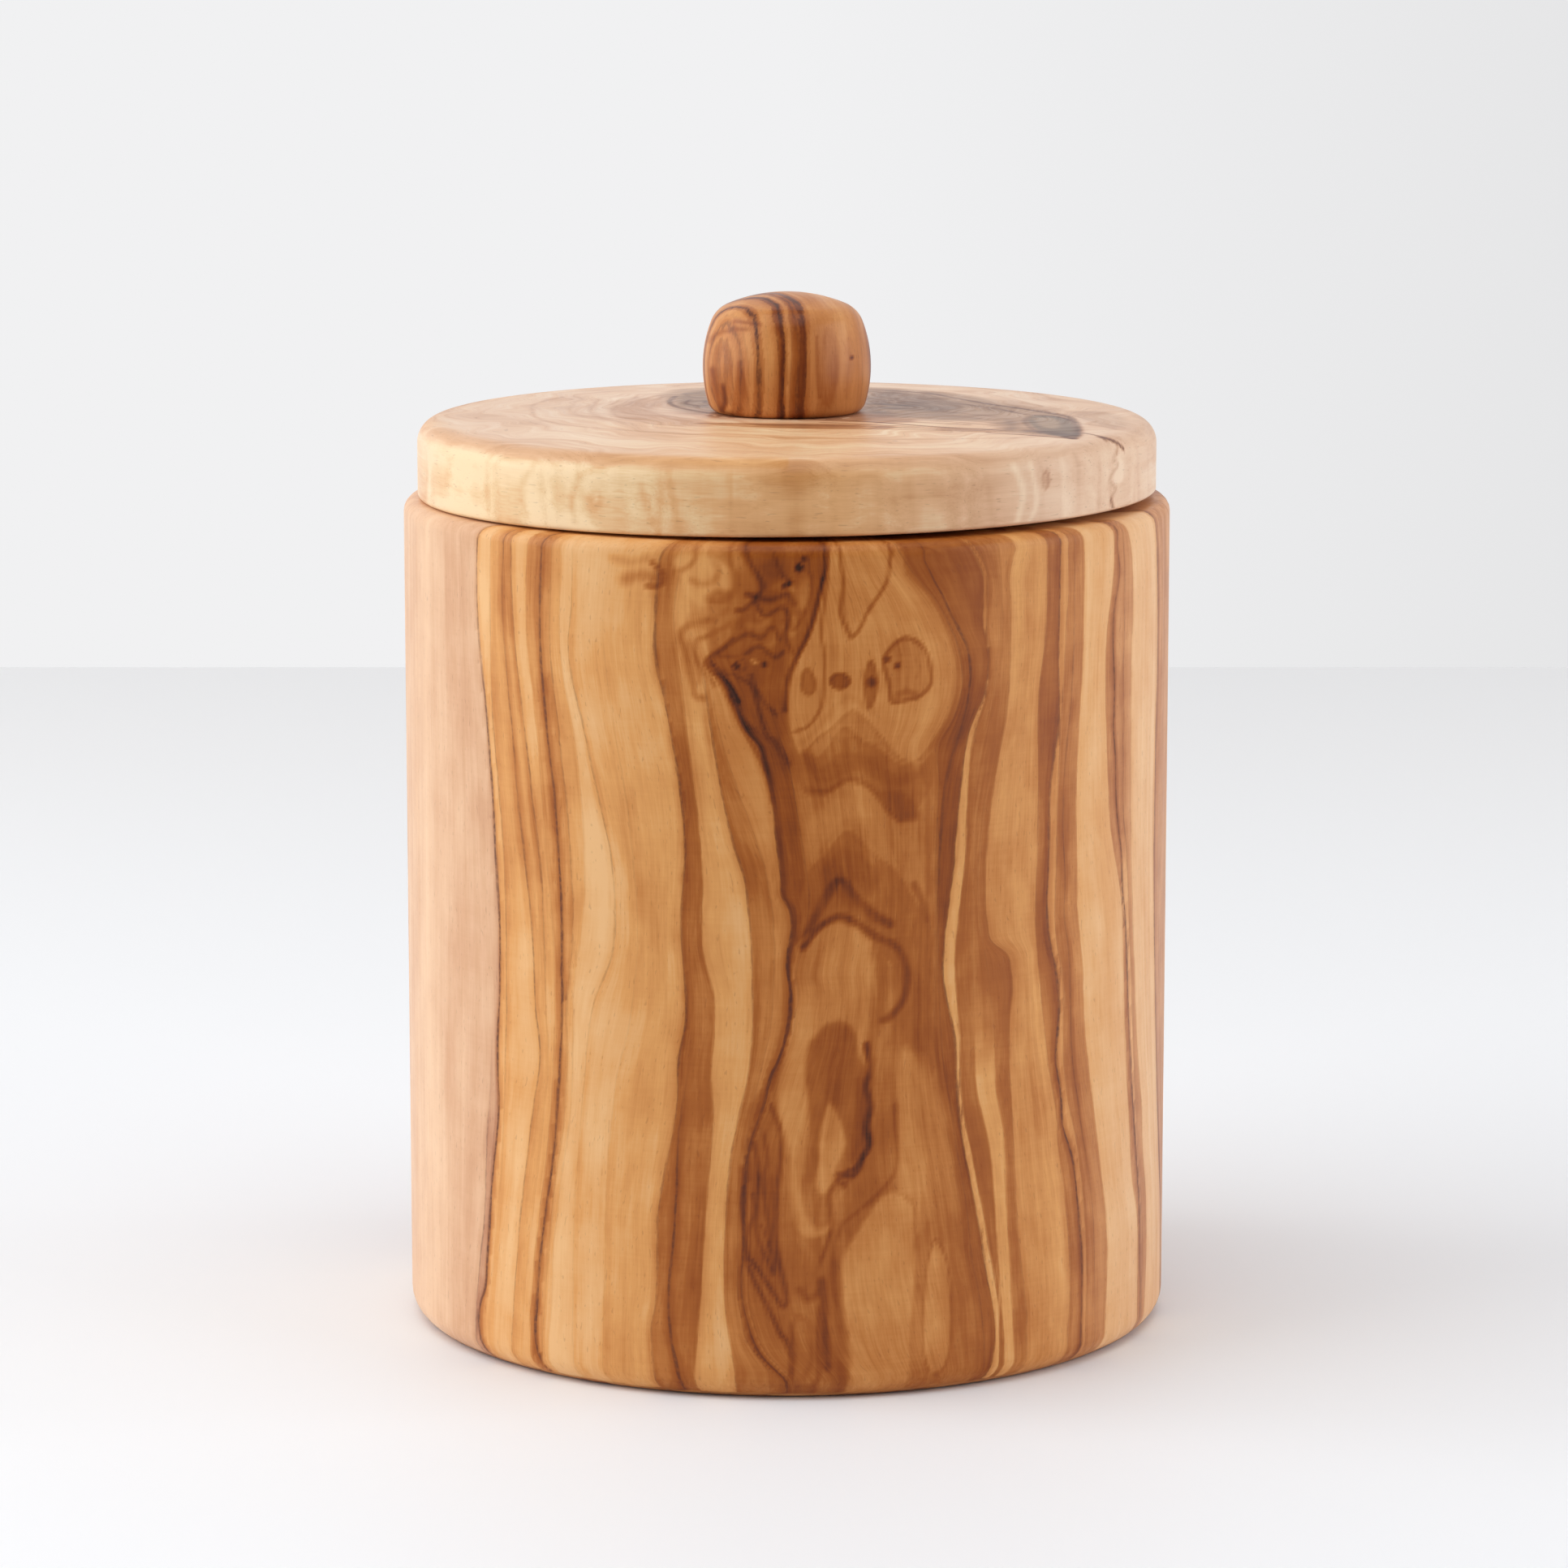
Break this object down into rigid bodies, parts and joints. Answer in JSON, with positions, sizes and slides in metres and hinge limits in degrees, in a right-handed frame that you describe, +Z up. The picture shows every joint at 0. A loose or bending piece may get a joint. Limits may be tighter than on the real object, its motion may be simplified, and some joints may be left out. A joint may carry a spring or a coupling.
{
  "type": "spice box",
  "caption": "Turned wooden spice box: a straight round jar with thick walls, and a lift-off lid with a bead knob that drops into its mouth.",
  "frame": {"origin": "centre of the jar's foot, on the surface that the box stands on", "axes": "+Z up along the axis that the box was turned on; -Y is the side that the picture shows"},
  "size_m": [0.09, 0.09, 0.1214],
  "materials": {
    "olive_jar": "turned olive wood, sanded and oiled, satin",
    "olive_lid": "turned olive wood, sanded and oiled, satin",
    "olive_knob": "turned olive wood, sanded and oiled, satin",
    "beech_dowel": "fluted beech dowel, bare and matt"
  },
  "bodies": {
    "jar": {"jar_body": "olive_jar"},
    "lid": {"lid": "olive_lid", "knob": "olive_knob", "knob_dowel": "beech_dowel"}
  },
  "joints": [
    {"name": "lid_lift", "type": "slide", "parent": "jar", "child": "lid", "axis": [0, 0, 1], "range_m": [0, 0.08]}
  ]
}
